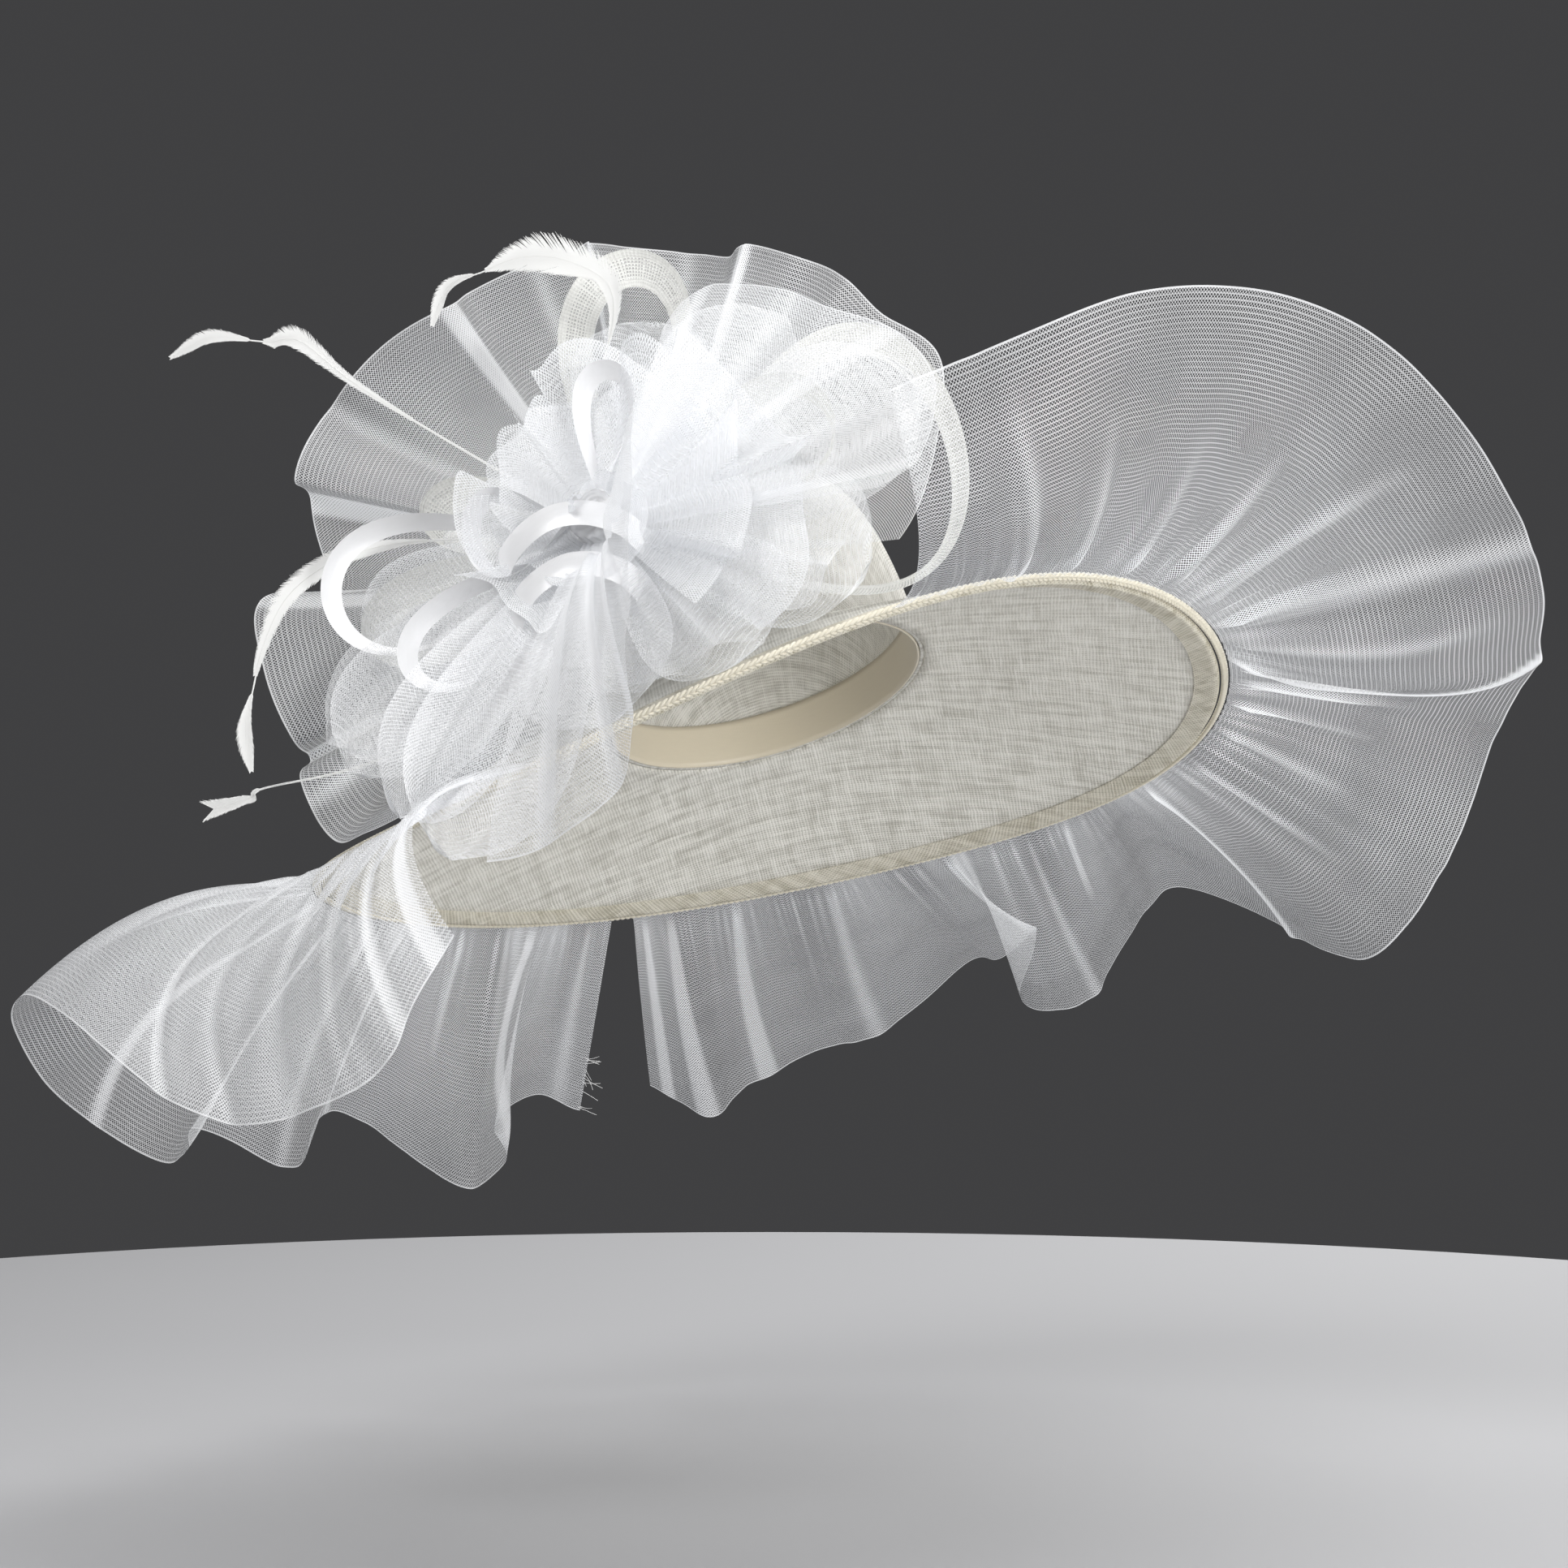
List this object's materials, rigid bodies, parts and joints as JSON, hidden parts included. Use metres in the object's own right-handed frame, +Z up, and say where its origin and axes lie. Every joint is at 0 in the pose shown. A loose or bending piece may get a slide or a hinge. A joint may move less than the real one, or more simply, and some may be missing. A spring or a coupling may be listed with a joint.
{
  "type": "wide-brim dress hat",
  "caption": "Wide dress hat of sinamay straw with a gathered crinoline net ruffle round the brim and a flower of net, straw and satin loops and stripped feathers at the crown.",
  "frame": {"origin": "centre of the head opening, where the hat sits on a head", "axes": "+X to the wearer's left, -Y the way the wearer faces, +Z up, with the hat tipped back and down to the wearer's right as it is worn"},
  "size_m": [0.8022, 0.6322, 0.5229],
  "materials": {
    "straw": "ivory sinamay straw, open slubby weave",
    "straw_fold": "beige sinamay cut on the bias, and a cream plaited cord",
    "ribbon": "beige grosgrain",
    "net": "sheer white crinoline net",
    "satin": "glossy white satin",
    "feather": "white stripped feather"
  },
  "bodies": {
    "root": {"crown": "straw", "brim": "straw", "straw_loop_right": "straw", "straw_loop_top": "straw", "straw_loop_upper_left": "straw", "straw_loop_left": "straw", "straw_loop_inner": "straw", "edge_fold": "straw_fold", "edge_cord": "straw_fold", "head_ribbon": "ribbon", "ruffle_right": "net", "ruffle_left": "net", "flounce_back": "net", "flounce_middle": "net", "flounce_front": "net", "flounce_lower": "net", "flower_core": "net", "satin_loop_left": "satin", "satin_loop_lower": "satin", "satin_loop_inner": "satin", "satin_loop_top": "satin", "feather_upper_left": "feather", "feather_top": "feather", "feather_left": "feather", "feather_lower_left": "feather"}
  },
  "joints": []
}
